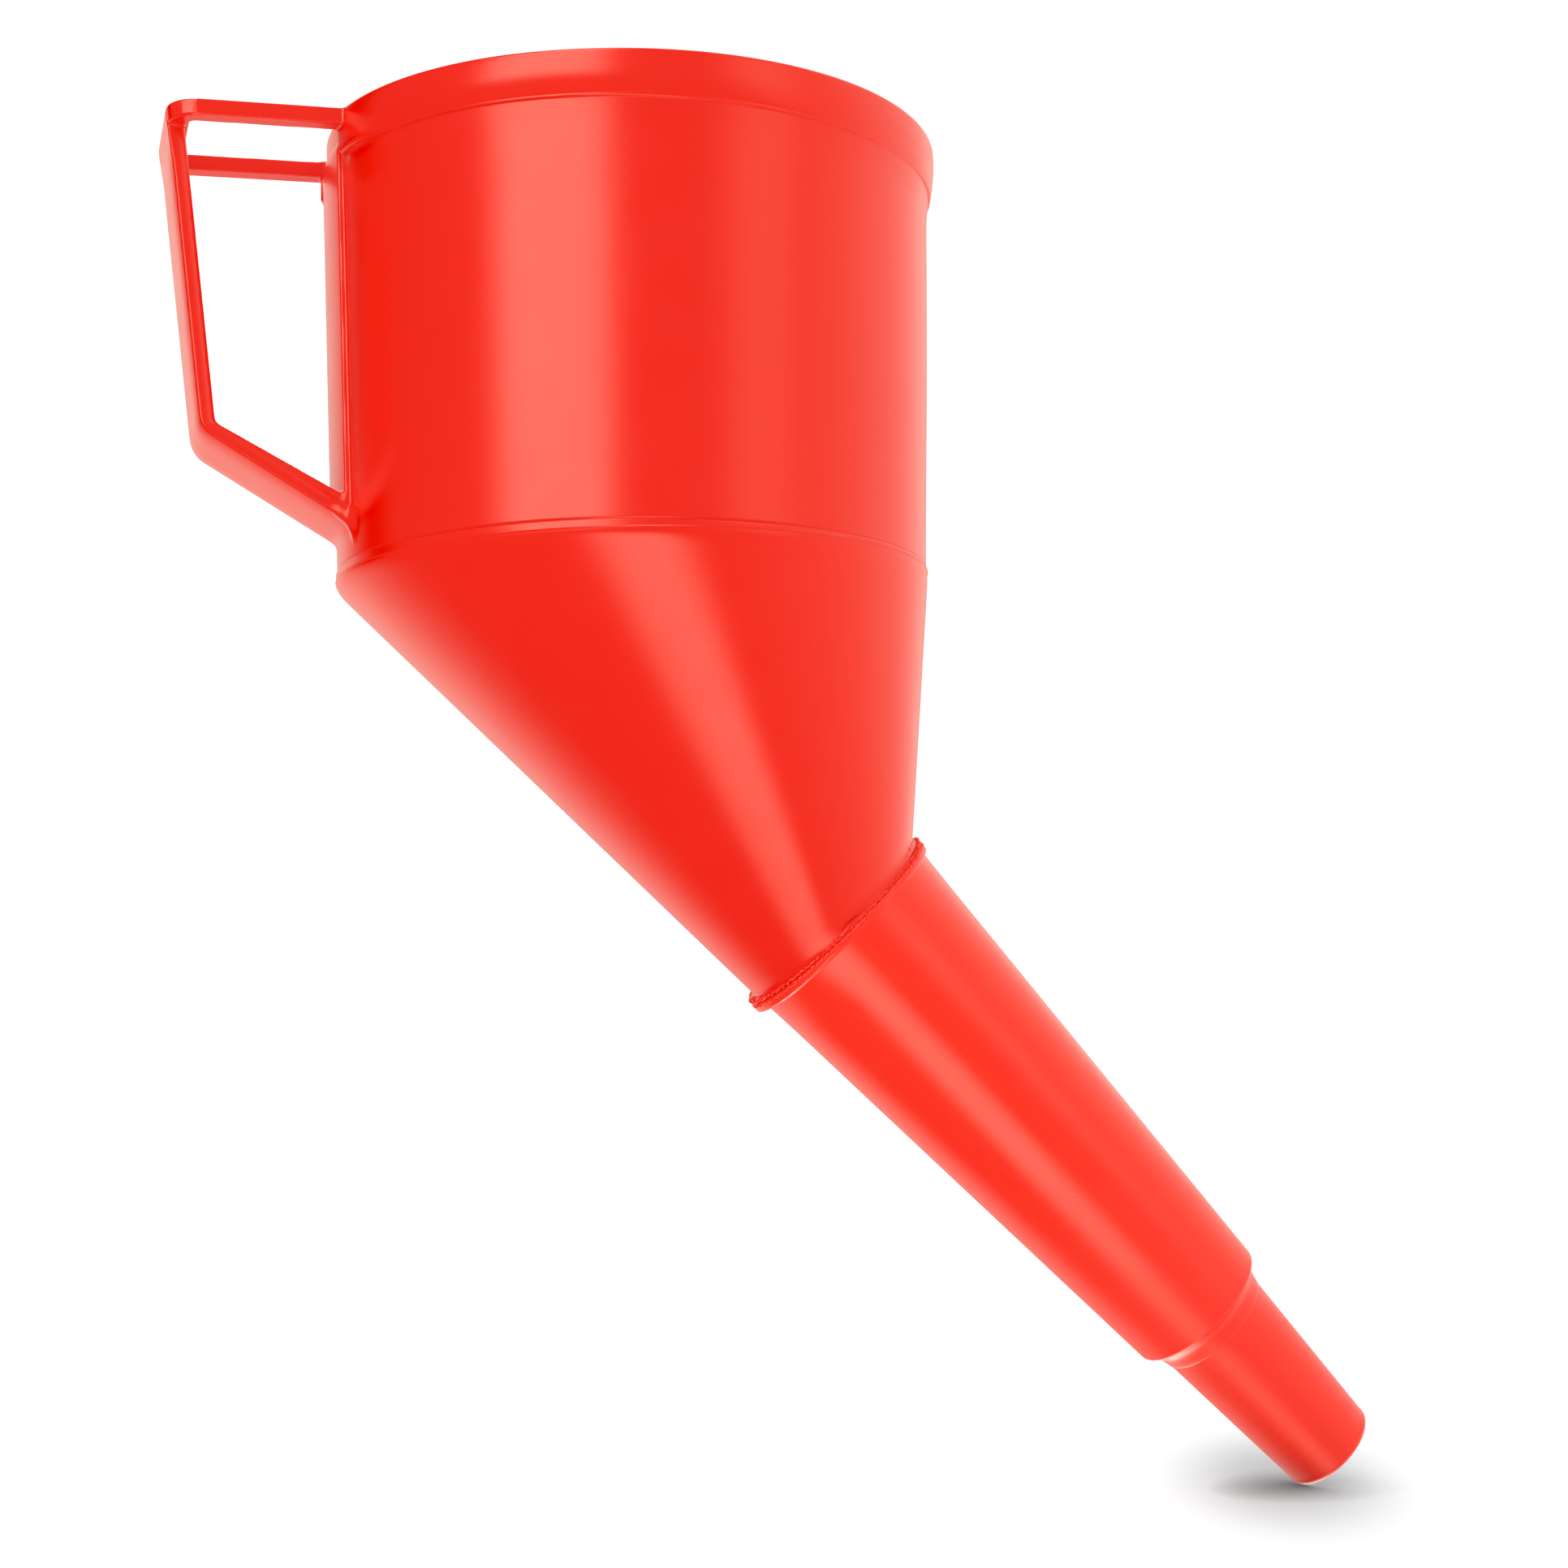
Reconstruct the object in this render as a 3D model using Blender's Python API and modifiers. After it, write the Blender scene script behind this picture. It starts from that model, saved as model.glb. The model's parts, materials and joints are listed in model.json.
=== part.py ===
"""A plastic filling funnel with a round cup, an oblique cone, a slanting stepped spout and a lift-out strainer.

The model is built around the cup's axis, with z = 0 on the moulding seam between cup and cone. The handle is
on the -X side and the spout runs down towards +X. At the end everything is shifted together, so that the world
origin is under the middle of the whole funnel, level with its lowest point.
"""

import math

import bmesh
import bpy
from mathutils import Matrix, Vector

MM = 0.001  # all the dimensions below are in millimetres
GAP = 0.3  # clearance between pieces that touch
SEGMENTS = 72  # flats around the cup, the cone and the neck
SPOUT_SEGMENTS = 56

# Cup
CUP_HEIGHT = 100.4
CUP_SEAM_RADIUS = 67.5
CUP_TOP_RADIUS = 70.2
BODY_WALL = 2.2
SEAM_STEP = 0.4  # the cone's band stands this far proud of the cup wall
SEAM_BAND = 2.0  # height of that band

# Rim flange
RIM_RADIUS = 72.4
RIM_HEIGHT = 10.0
RIM_ROUND = 1.6

# Neck, in its own frame: origin on the joint line, +Z back up into the cone
NECK_X = 45.9
NECK_Z = -79.0
SPOUT_SLOPE = math.radians(46.75)  # below the horizontal
NECK_RADIUS = 25.9
NECK_BORE = 23.7
BEAD_RADIUS = 26.7
BEAD_LENGTH = 2.4
BEAD_ROUND = 0.8

# Spout
SPOUT_WALL = 2.2
SPOUT_START_RADIUS = 25.5
STEP_AT = 131.3
STEP_RADIUS = 17.95
STEP_ROUND = 1.4
SHOULDER_RADIUS = 16.0
SHOULDER_LENGTH = 4.8
TIP_START_RADIUS = 14.35
TIP_END_AT = 182.0
TIP_END_RADIUS = 11.8
TIP_ROUND = 1.2
TIP_WALL = 2.0

# Strainer
STRAINER_HEIGHT = 8.0
STRAINER_BORE = 19.4
STRAINER_LIP_ROUND = 1.6
GROOVE_DEPTH = 1.2
GROOVE_BOTTOM = 1.5
GROOVE_HEIGHT = 1.4
MESH_THICKNESS = 0.8
MESH_PITCH = 3.0
MESH_BAR = 0.9

# Handle
GRIP_HALF_WIDTH = 13.0
GRIP_FOOT_X = -95.5  # the grip's outer face, carried down to z = 0
GRIP_LEAN = -0.11  # x gained for each unit of height
GRIP_THICKNESS = 3.6
GRIP_TOP_Z = 97.0
ARM_TOP_Z = 13.8  # where the lower arm's upper face meets the cup
ARM_BOTTOM_Z = 8.2
ARM_TOP_SLOPE = -0.544
ARM_BOTTOM_SLOPE = -0.613
ARM_OUTER_ROUND = 6.0
ARM_INNER_ROUND = 2.0
RAIL_OUTER = 20.1
RAIL_INNER = 15.6
RIM_GAP = 15.9  # half the width of the break in the rim between the rails
RAIL_HEIGHT = 3.8
RAIL_END_X = -106.7
RAIL_CROSSBAR = 4.9
RAIL_OUTER_ROUND = 5.0
RAIL_INNER_ROUND = 1.5
RAIL_DROP = math.radians(2.2)
ROOT_X = -64.5  # handle pieces run this far into the cup wall
PAD_HALF_WIDTH = 12.6
PAD_PROUD = 1.2
PAD_BOTTOM_Z = 9.2

CUP_TAPER = (CUP_TOP_RADIUS - CUP_SEAM_RADIUS) / CUP_HEIGHT
NECK_UPSTREAM = Vector((-math.cos(SPOUT_SLOPE), 0.0, math.sin(SPOUT_SLOPE)))
NECK_SIDE = Vector((math.sin(SPOUT_SLOPE), 0.0, math.cos(SPOUT_SLOPE)))
NECK_CENTRE = Vector((NECK_X, 0.0, NECK_Z))


# ---------------------------------------------------------------- scene and materials


def clear_scene():
    for obj in list(bpy.data.objects):
        bpy.data.objects.remove(obj, do_unlink=True)


def new_collection(name):
    collection = bpy.data.collections.new(name)
    bpy.context.scene.collection.children.link(collection)
    return collection


def plastic(name, color, roughness, metallic=0.0):
    material = bpy.data.materials.new(name)
    material.use_nodes = True
    shader = material.node_tree.nodes["Principled BSDF"]
    shader.inputs["Base Color"].default_value = (*color, 1.0)
    shader.inputs["Roughness"].default_value = roughness
    shader.inputs["Metallic"].default_value = metallic
    return material


def add_object(name, mesh, collection, parent=None):
    obj = bpy.data.objects.new(name, mesh)
    collection.objects.link(obj)
    obj.parent = parent
    return obj


def as_cutter(obj):
    obj.hide_render = True
    obj.display_type = "WIRE"
    return obj


def boolean(obj, other, operation):
    modifier = obj.modifiers.new(f"{operation.lower()} {other.name}", "BOOLEAN")
    modifier.operation = operation
    modifier.object = other


def shade_round(obj, angle=35.0):
    obj.data.shade_smooth()
    obj.data.set_sharp_from_angle(angle=math.radians(angle))


# ---------------------------------------------------------------- shape helpers


def turned(name, profile, steps, collection, parent):
    """A closed profile of (radius, z), down its outer side and up its inner side, turned about local Z."""
    mesh = bpy.data.meshes.new(name)
    points = [(radius * MM, 0.0, z * MM) for radius, z in profile]
    count = len(points)
    mesh.from_pydata(points, [(i, (i + 1) % count) for i in range(count)], [])
    obj = add_object(name, mesh, collection, parent)
    screw = obj.modifiers.new("turn", "SCREW")
    screw.axis = "Z"
    screw.steps = steps
    screw.render_steps = steps
    screw.use_merge_vertices = True
    screw.merge_threshold = 0.00001
    return obj


def arc(centre, radius, start, end, steps=4):
    """Points (x, y) on an arc, from one angle in degrees to another."""
    turns = [math.radians(start + (end - start) * i / steps) for i in range(steps + 1)]
    return [(centre[0] + radius * math.cos(a), centre[1] + radius * math.sin(a)) for a in turns]


def rounded_outline(corners, steps=5):
    """The outline through corners of (x, y, radius), each corner of some radius replaced by an arc."""
    outline = []
    for i, (x, y, radius) in enumerate(corners):
        here = Vector((x, y))
        before = Vector(corners[i - 1][:2]) - here
        after = Vector(corners[(i + 1) % len(corners)][:2]) - here
        if radius == 0.0:
            outline.append(here)
            continue
        before.normalize()
        after.normalize()
        half_angle = before.angle(after) / 2
        middle = (before + after).normalized()
        centre = here + middle * radius / math.sin(half_angle)
        reach = radius / math.tan(half_angle)
        first = here + before * reach - centre
        last = here + after * reach - centre
        sweep = first.angle_signed(last)
        for step in range(steps + 1):
            turn = Matrix.Rotation(-sweep * step / steps, 2)
            outline.append(centre + turn @ first)
    return outline


def plate(name, outline, half_thickness, collection, parent):
    """A flat outline filled and extruded both ways along its local Z, as a closed mesh."""
    curve = bpy.data.curves.new(name, "CURVE")
    curve.dimensions = "2D"
    curve.fill_mode = "BOTH"
    curve.extrude = half_thickness * MM
    spline = curve.splines.new("POLY")
    spline.points.add(len(outline) - 1)
    for point, (x, y) in zip(spline.points, outline):
        point.co = (x * MM, y * MM, 0.0, 1.0)
    spline.use_cyclic_u = True
    drawn = add_object(name, curve, collection)
    bpy.context.view_layer.update()
    graph = bpy.context.evaluated_depsgraph_get()
    mesh = bpy.data.meshes.new_from_object(drawn.evaluated_get(graph))
    bpy.data.objects.remove(drawn, do_unlink=True)
    bpy.data.curves.remove(curve)
    shape = bmesh.new()
    shape.from_mesh(mesh)
    bmesh.ops.remove_doubles(shape, verts=shape.verts, dist=0.000001)
    bmesh.ops.recalc_face_normals(shape, faces=shape.faces)
    shape.to_mesh(mesh)
    shape.free()
    return add_object(name, mesh, collection, parent)


def box(name, low, high, collection, parent):
    size = [(b - a) * MM for a, b in zip(low, high)]
    middle = [(a + b) / 2 * MM for a, b in zip(low, high)]
    mesh = bpy.data.meshes.new(name)
    shape = bmesh.new()
    bmesh.ops.create_cube(shape, size=1.0, matrix=Matrix.Diagonal((*size, 1.0)))
    shape.to_mesh(mesh)
    shape.free()
    obj = add_object(name, mesh, collection, parent)
    obj.location = middle
    return obj


def level_ring(radius, z):
    """A level circle of points about the cup's axis."""
    turns = [math.tau * i / SEGMENTS for i in range(SEGMENTS)]
    return [Vector((radius * math.cos(a), radius * math.sin(a), z)) for a in turns]


def neck_point(radius, height, angle):
    across = NECK_SIDE * math.cos(angle) + Vector((0.0, 1.0, 0.0)) * math.sin(angle)
    return NECK_CENTRE + NECK_UPSTREAM * height + across * radius


def neck_ring(radius, height, angles):
    return [neck_point(radius, height, angle) for angle in angles]


def tangent_angles(top_radius, top_z, radius, height):
    """For each point of a level circle, the angle on the neck circle that shares its tangent plane.

    Lines between such pairs make the developable skin that wraps both circles. A plane's outward direction d is
    swung down from the horizontal until it touches both circles at once.
    """
    centre = NECK_CENTRE + NECK_UPSTREAM * height
    angles = []
    for i in range(SEGMENTS):
        turn = math.tau * i / SEGMENTS
        low, high = -math.pi / 2, math.pi / 2
        for _ in range(50):
            dip = (low + high) / 2
            d = Vector((math.cos(turn) * math.cos(dip), math.sin(turn) * math.cos(dip), math.sin(dip)))
            reach_top = top_radius * math.cos(dip) + top_z * d.z
            reach_neck = centre.dot(d) + radius * math.hypot(d.dot(NECK_SIDE), d.y)
            if reach_neck > reach_top:
                low = dip
            else:
                high = dip
        angle = math.atan2(d.y, d.dot(NECK_SIDE))
        angles.append(angle)
    return angles


def loft(name, rings, collection, parent):
    """A closed solid through a stack of rings of equal count, capped at both ends."""
    mesh = bpy.data.meshes.new(name)
    shape = bmesh.new()
    layers = [[shape.verts.new(point * MM) for point in ring] for ring in rings]
    for upper, lower in zip(layers, layers[1:]):
        for i in range(SEGMENTS):
            j = (i + 1) % SEGMENTS
            shape.faces.new((upper[i], lower[i], lower[j], upper[j]))
    shape.faces.new(layers[0])
    shape.faces.new(list(reversed(layers[-1])))
    bmesh.ops.recalc_face_normals(shape, faces=shape.faces)
    shape.to_mesh(mesh)
    shape.free()
    return add_object(name, mesh, collection, parent)


# ---------------------------------------------------------------- funnel body


def body_outside(collection, parent):
    """Cup wall, seam band, oblique cone and the neck's welding bead, as one solid form."""
    band_radius = CUP_SEAM_RADIUS + SEAM_STEP
    angles = tangent_angles(band_radius, -SEAM_BAND, NECK_RADIUS, BEAD_LENGTH)
    rings = [
        level_ring(CUP_TOP_RADIUS, CUP_HEIGHT),
        level_ring(CUP_SEAM_RADIUS, 0.0),
        level_ring(band_radius, -SEAM_STEP),
        level_ring(band_radius, -SEAM_BAND),
        neck_ring(NECK_RADIUS, BEAD_LENGTH + GAP / 2, angles),
        neck_ring(BEAD_RADIUS - BEAD_ROUND / 2, BEAD_LENGTH, angles),
        neck_ring(BEAD_RADIUS, BEAD_LENGTH - BEAD_ROUND, angles),
        neck_ring(BEAD_RADIUS, GAP / 2 + BEAD_ROUND, angles),
        neck_ring(BEAD_RADIUS - BEAD_ROUND, GAP / 2, angles),
    ]
    return loft("funnel_body", rings, collection, parent)


def body_hollow(collection, parent):
    """The space inside the cup, the cone and the neck, running out past both openings."""
    seam_radius = CUP_SEAM_RADIUS - BODY_WALL
    bore_height = BEAD_LENGTH + 0.6
    overrun = 2.0
    angles = tangent_angles(seam_radius, 0.0, NECK_BORE, bore_height)
    rings = [
        level_ring(CUP_TOP_RADIUS - BODY_WALL + overrun * CUP_TAPER, CUP_HEIGHT + overrun),
        level_ring(seam_radius, 0.0),
        neck_ring(NECK_BORE, bore_height, angles),
        neck_ring(NECK_BORE, -overrun, angles),
    ]
    return as_cutter(loft("cup_and_cone_hollow", rings, collection, parent))


def rim_flange(collection, parent):
    """The outward flange around the top, interrupted between the handle's rails."""
    bottom = CUP_HEIGHT - RIM_HEIGHT
    inner = CUP_TOP_RADIUS - BODY_WALL / 2
    profile = [(inner, CUP_HEIGHT)]
    profile += arc((RIM_RADIUS - RIM_ROUND, CUP_HEIGHT - RIM_ROUND), RIM_ROUND, 90, 0)
    profile += arc((RIM_RADIUS - 1.0, bottom + 0.6), 0.6, 0, -90, steps=2)
    profile += [(inner, bottom)]
    rim = as_cutter(turned("rim_flange", profile, SEGMENTS, collection, parent))
    low = (-RIM_RADIUS - 5.0, -RIM_GAP, bottom - 2.0)
    high = (0.0, RIM_GAP, CUP_HEIGHT + 2.0)
    gap = as_cutter(box("rim_gap", low, high, collection, parent))
    boolean(rim, gap, "DIFFERENCE")
    return rim


def grip_and_arm(collection, parent):
    """The upright grip and the sloping lower arm, one strap with a constant width."""

    def grip_x(z, inset):
        return GRIP_FOOT_X + inset + GRIP_LEAN * z

    def arm_z(x, at_cup, slope):
        return at_cup + slope * (x + CUP_SEAM_RADIUS)

    def corner(inset, at_cup, slope):
        z = (at_cup + slope * (GRIP_FOOT_X + inset + CUP_SEAM_RADIUS)) / (1 - slope * GRIP_LEAN)
        return grip_x(z, inset), z

    outer_corner = corner(0.0, ARM_BOTTOM_Z, ARM_BOTTOM_SLOPE)
    inner_corner = corner(GRIP_THICKNESS, ARM_TOP_Z, ARM_TOP_SLOPE)
    outline = rounded_outline(
        [
            (grip_x(GRIP_TOP_Z, 0.0), GRIP_TOP_Z, 0.0),
            (*outer_corner, ARM_OUTER_ROUND),
            (ROOT_X, arm_z(ROOT_X, ARM_BOTTOM_Z, ARM_BOTTOM_SLOPE), 0.0),
            (ROOT_X, arm_z(ROOT_X, ARM_TOP_Z, ARM_TOP_SLOPE), 0.0),
            (*inner_corner, ARM_INNER_ROUND),
            (grip_x(GRIP_TOP_Z, GRIP_THICKNESS), GRIP_TOP_Z, 0.0),
        ]
    )
    strap = as_cutter(plate("handle_grip", outline, GRIP_HALF_WIDTH, collection, parent))
    strap.rotation_euler = (math.radians(90.0), 0.0, 0.0)
    return strap


def top_rails(collection, parent):
    """The two rails and the crossbar at the top of the handle, a flat U that lies level with the rim."""
    inner_end = RAIL_END_X + RAIL_CROSSBAR
    outline = rounded_outline(
        [
            (ROOT_X, -RAIL_OUTER, 0.0),
            (ROOT_X, -RAIL_INNER, 0.0),
            (inner_end, -RAIL_INNER, RAIL_INNER_ROUND),
            (inner_end, RAIL_INNER, RAIL_INNER_ROUND),
            (ROOT_X, RAIL_INNER, 0.0),
            (ROOT_X, RAIL_OUTER, 0.0),
            (RAIL_END_X, RAIL_OUTER, RAIL_OUTER_ROUND),
            (RAIL_END_X, -RAIL_OUTER, RAIL_OUTER_ROUND),
        ]
    )
    shifted = [(x - ROOT_X, y) for x, y in outline]
    rails = as_cutter(plate("handle_rails", shifted, RAIL_HEIGHT / 2, collection, parent))
    rails.location = (ROOT_X * MM, 0.0, (CUP_HEIGHT - 0.1 - RAIL_HEIGHT / 2) * MM)
    rails.rotation_euler = (0.0, -RAIL_DROP, 0.0)
    return rails


def wall_pad(collection, parent):
    """The raised pad on the cup wall between the rails and the lower arm."""
    top_z = CUP_HEIGHT - RAIL_HEIGHT + 0.8
    middle_z = (top_z + PAD_BOTTOM_Z) / 2
    radius = CUP_SEAM_RADIUS + CUP_TAPER * middle_z + PAD_PROUD
    reach = math.degrees(math.asin(PAD_HALF_WIDTH / radius))
    outline = arc((0.0, 0.0), radius, 180 - reach, 180 + reach, steps=6)
    outline += [(ROOT_X, -PAD_HALF_WIDTH), (ROOT_X, PAD_HALF_WIDTH)]
    pad = as_cutter(plate("handle_pad", outline, (top_z - PAD_BOTTOM_Z) / 2, collection, parent))
    pad.location = (0.0, 0.0, middle_z * MM)
    return pad


def build_body(parts, cutters, frame, material):
    body = body_outside(parts, frame)
    for piece in (rim_flange, grip_and_arm, top_rails, wall_pad):
        boolean(body, piece(cutters, frame), "UNION")
    boolean(body, body_hollow(cutters, frame), "DIFFERENCE")
    body.data.materials.append(material)
    shade_round(body)
    return body


# ---------------------------------------------------------------- spout and strainer


def build_spout(parts, neck, material):
    """The stepped outlet tube, with the bead that meets the neck's bead."""
    top = -GAP / 2
    bead_low = -BEAD_LENGTH
    tube_radius = SPOUT_START_RADIUS
    step = -STEP_AT
    shoulder_low = step - SHOULDER_LENGTH
    end = -TIP_END_AT
    outer = arc((BEAD_RADIUS - BEAD_ROUND, top - BEAD_ROUND), BEAD_ROUND, 90, 0, steps=3)
    outer += arc((BEAD_RADIUS - BEAD_ROUND, bead_low + BEAD_ROUND), BEAD_ROUND, 0, -90, steps=3)
    outer += [(tube_radius, bead_low - 0.4)]
    outer += arc((STEP_RADIUS - STEP_ROUND, step + STEP_ROUND), STEP_ROUND, 0, -75, steps=4)
    outer += [(SHOULDER_RADIUS, step - 0.6), (TIP_START_RADIUS, shoulder_low)]
    outer += arc((TIP_END_RADIUS - TIP_ROUND, end + TIP_ROUND), TIP_ROUND, 0, -90, steps=3)
    inner = [
        (TIP_END_RADIUS - TIP_WALL, end),
        (TIP_START_RADIUS - TIP_WALL, shoulder_low + 1.0),
        (SHOULDER_RADIUS - TIP_WALL, step + TIP_WALL),
        (STEP_RADIUS - SPOUT_WALL, step + TIP_WALL + 0.8),
        (tube_radius - SPOUT_WALL, top),
    ]
    spout = turned("spout", outer + inner, SPOUT_SEGMENTS, parts, neck)
    spout.data.materials.append(material)
    return spout


def build_strainer_ring(parts, neck, material):
    """The rubber ring that rests on the spout's mouth inside the neck, with a groove for the wire cloth."""
    radius = NECK_BORE - GAP
    low = GAP / 2
    high = low + STRAINER_HEIGHT
    groove_low = low + GROOVE_BOTTOM
    groove_high = groove_low + GROOVE_HEIGHT
    groove_radius = STRAINER_BORE + GROOVE_DEPTH
    profile = arc((radius - STRAINER_LIP_ROUND, high - STRAINER_LIP_ROUND), STRAINER_LIP_ROUND, 90, 0)
    profile += [(radius, low + 0.6), (radius - 0.6, low), (STRAINER_BORE, low)]
    profile += [(STRAINER_BORE, groove_low), (groove_radius, groove_low)]
    profile += [(groove_radius, groove_high), (STRAINER_BORE, groove_high)]
    profile += arc((STRAINER_BORE + STRAINER_LIP_ROUND, high - STRAINER_LIP_ROUND), STRAINER_LIP_ROUND, 180, 90)
    ring = turned("strainer_ring", profile, SPOUT_SEGMENTS, parts, neck)
    ring.data.materials.append(material)
    return ring


def build_strainer_mesh(parts, cutters, neck, material):
    """The wire cloth, as a round grid whose edge sits in the ring's groove."""
    radius = STRAINER_BORE + GROOVE_DEPTH - GAP
    middle = GAP / 2 + GROOVE_BOTTOM + GROOVE_HEIGHT / 2
    half = MESH_THICKNESS / 2
    mesh = bpy.data.meshes.new("strainer_mesh")
    shape = bmesh.new()
    bmesh.ops.create_cone(
        shape,
        cap_ends=True,
        segments=SPOUT_SEGMENTS,
        radius1=radius * MM,
        radius2=radius * MM,
        depth=MESH_THICKNESS * MM,
    )
    shape.to_mesh(mesh)
    shape.free()
    cloth = add_object("strainer_mesh", mesh, parts, neck)
    cloth.location = (0.0, 0.0, middle * MM)
    holes = bpy.data.meshes.new("mesh_holes")
    shape = bmesh.new()
    hole = MESH_PITCH - MESH_BAR
    reach = STRAINER_BORE - 0.4
    count = int(reach / MESH_PITCH) + 1
    for column in range(-count, count + 1):
        for row in range(-count, count + 1):
            corner = Vector(((abs(column) + 0.5) * MESH_PITCH, (abs(row) + 0.5) * MESH_PITCH))
            if corner.length > reach:
                continue
            place = Vector((column * MESH_PITCH, row * MESH_PITCH, 0.0)) * MM
            size = Matrix.Diagonal((hole * MM, hole * MM, 4 * half * MM, 1.0))
            bmesh.ops.create_cube(shape, size=1.0, matrix=Matrix.Translation(place) @ size)
    shape.to_mesh(holes)
    shape.free()
    cutter = as_cutter(add_object("mesh_holes", holes, cutters, neck))
    cutter.location = cloth.location
    boolean(cloth, cutter, "DIFFERENCE")
    cloth.data.materials.append(material)
    return cloth


# ---------------------------------------------------------------- assembly


def add_empty(name, collection, parent=None):
    empty = bpy.data.objects.new(name, None)
    collection.objects.link(empty)
    empty.empty_display_size = 20 * MM
    empty.parent = parent
    return empty


def move_origin_under(frame, pieces):
    """Shifts the whole model so that the world origin is below its middle, level with its lowest point."""
    bpy.context.view_layer.update()
    graph = bpy.context.evaluated_depsgraph_get()
    points = []
    for piece in pieces:
        drawn = piece.evaluated_get(graph)
        mesh = drawn.to_mesh()
        points += [drawn.matrix_world @ vertex.co for vertex in mesh.vertices]
        drawn.to_mesh_clear()
    low = [min(point[i] for point in points) for i in range(3)]
    high = [max(point[i] for point in points) for i in range(3)]
    frame.location = (-(low[0] + high[0]) / 2, -(low[1] + high[1]) / 2, -low[2])
    bpy.context.view_layer.update()


def main():
    clear_scene()
    parts = new_collection("funnel")
    cutters = new_collection("cutters")
    red = plastic("gloss_red_plastic", (0.85, 0.03, 0.012), 0.28)
    rubber = plastic("black_rubber", (0.012, 0.012, 0.013), 0.35)
    steel = plastic("steel_wire", (0.75, 0.75, 0.77), 0.25, metallic=1.0)

    frame = add_empty("funnel_frame", parts)
    neck = add_empty("neck_frame", parts, frame)
    neck.location = NECK_CENTRE * MM
    neck.rotation_euler = (0.0, SPOUT_SLOPE - math.pi / 2, 0.0)

    pieces = [
        build_body(parts, cutters, frame, red),
        build_spout(parts, neck, red),
        build_strainer_ring(parts, neck, rubber),
        build_strainer_mesh(parts, cutters, neck, steel),
    ]
    move_origin_under(frame, pieces)


main()
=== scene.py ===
"""The looks of the funnel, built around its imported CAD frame.

The shapes are worked out in millimetres around the cup's own axis, with z = 0 on the seam between cup
and cone, the handle on the -X side and the spout towards +X, and are then placed where the CAD says the
funnel is.
"""

import json
import math

import bpy
import numpy as np
from mathutils import Matrix, Vector


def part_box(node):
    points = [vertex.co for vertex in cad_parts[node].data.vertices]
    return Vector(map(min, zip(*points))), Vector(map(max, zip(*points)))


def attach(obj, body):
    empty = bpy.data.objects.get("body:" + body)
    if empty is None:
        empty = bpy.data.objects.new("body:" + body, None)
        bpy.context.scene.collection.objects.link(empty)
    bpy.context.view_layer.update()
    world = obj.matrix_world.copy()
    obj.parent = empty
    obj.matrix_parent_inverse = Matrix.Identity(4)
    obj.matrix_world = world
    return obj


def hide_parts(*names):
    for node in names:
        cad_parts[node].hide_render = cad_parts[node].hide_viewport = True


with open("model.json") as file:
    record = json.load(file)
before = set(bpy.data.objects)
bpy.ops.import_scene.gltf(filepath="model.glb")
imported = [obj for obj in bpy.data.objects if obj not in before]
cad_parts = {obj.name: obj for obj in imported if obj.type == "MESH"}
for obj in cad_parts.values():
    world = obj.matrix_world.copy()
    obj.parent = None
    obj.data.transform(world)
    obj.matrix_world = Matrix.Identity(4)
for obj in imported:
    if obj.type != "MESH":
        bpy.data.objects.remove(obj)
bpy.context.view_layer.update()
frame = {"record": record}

MM = 0.001

# ---------------------------------------------------------------- where the CAD put things

BODY_LOW, BODY_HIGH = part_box("funnel_body")
CUP_TOP = 100.4  # height of the rim above the seam
HANDLE_REACH = 106.7  # from the cup's axis to the outside of the handle
BODY_MIDDLE_Y = (BODY_LOW.y + BODY_HIGH.y) / 2
ORIGIN = np.array([BODY_LOW.x / MM + HANDLE_REACH, BODY_MIDDLE_Y / MM, BODY_HIGH.z / MM - CUP_TOP])

mounts = {mount["name"]: mount for mount in frame["record"]["mounts"]}
DOWNSTREAM = np.array(mounts["spout_tip"]["axis"], float)
DOWNSTREAM /= np.linalg.norm(DOWNSTREAM)
UPSTREAM = -DOWNSTREAM
ACROSS = np.array([0.0, 1.0, 0.0])
SIDEWAYS = np.cross(ACROSS, UPSTREAM)  # points up and forward, square to the spout
SPOUT_LENGTH = 182.0
tip_centre = np.array(mounts["spout_tip"]["pos_m"], float) / MM
tip_centre[1] = ORIGIN[1]
NECK = tip_centre - DOWNSTREAM * SPOUT_LENGTH - ORIGIN  # centre of the joint between neck and spout

# ---------------------------------------------------------------- dimensions, in millimetres

WALL_SEAM_RADIUS = 67.5
WALL_TAPER = 2.7 / CUP_TOP
WALL_THICKNESS = 2.2
RIM_RADIUS = 72.4
RIM_BOTTOM = CUP_TOP - 10.0
RIM_GAP = 15.9  # half the width of the gap in the rim, between the handle's rails
RIM_GAP_CORNER = 1.2
NECK_RADIUS = 26.0
NECK_HEIGHT = 1.1  # where the cone meets the collar, upstream of the joint
BORE_RADIUS = 23.7
WELD = -1.5  # where the weld line runs, downstream of the joint
WELD_ASKEW = 1.0  # how far it falls towards the far side and rises towards the near side
FAR_SIDE = math.radians(-29.0)  # heading of the side where rim and wall are a little out of true
RIM_LIFT = 1.2  # how much higher the rim is there
WALL_SWELL = 0.5  # how much wider the wall is there

rng = np.random.default_rng(7)


def wall_radius(z):
    return WALL_SEAM_RADIUS + WALL_TAPER * z


def weld_swell(angle):
    """How far the beads of the weld stand out: least on the near side, most on the underside."""
    level = np.cos(angle)
    return 0.38 + 0.62 * level**2 + 0.95 * np.maximum(-level, 0.0) ** 2


def weld_height(angle, above=0.0):
    """Height of a line that runs round the weld, above or below it.

    The weld is slightly askew, and it is thinner on the near side and the far side.
    """
    return WELD - WELD_ASKEW * np.sin(angle) + above * (0.55 + 0.4 * np.cos(angle) ** 2)


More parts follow.
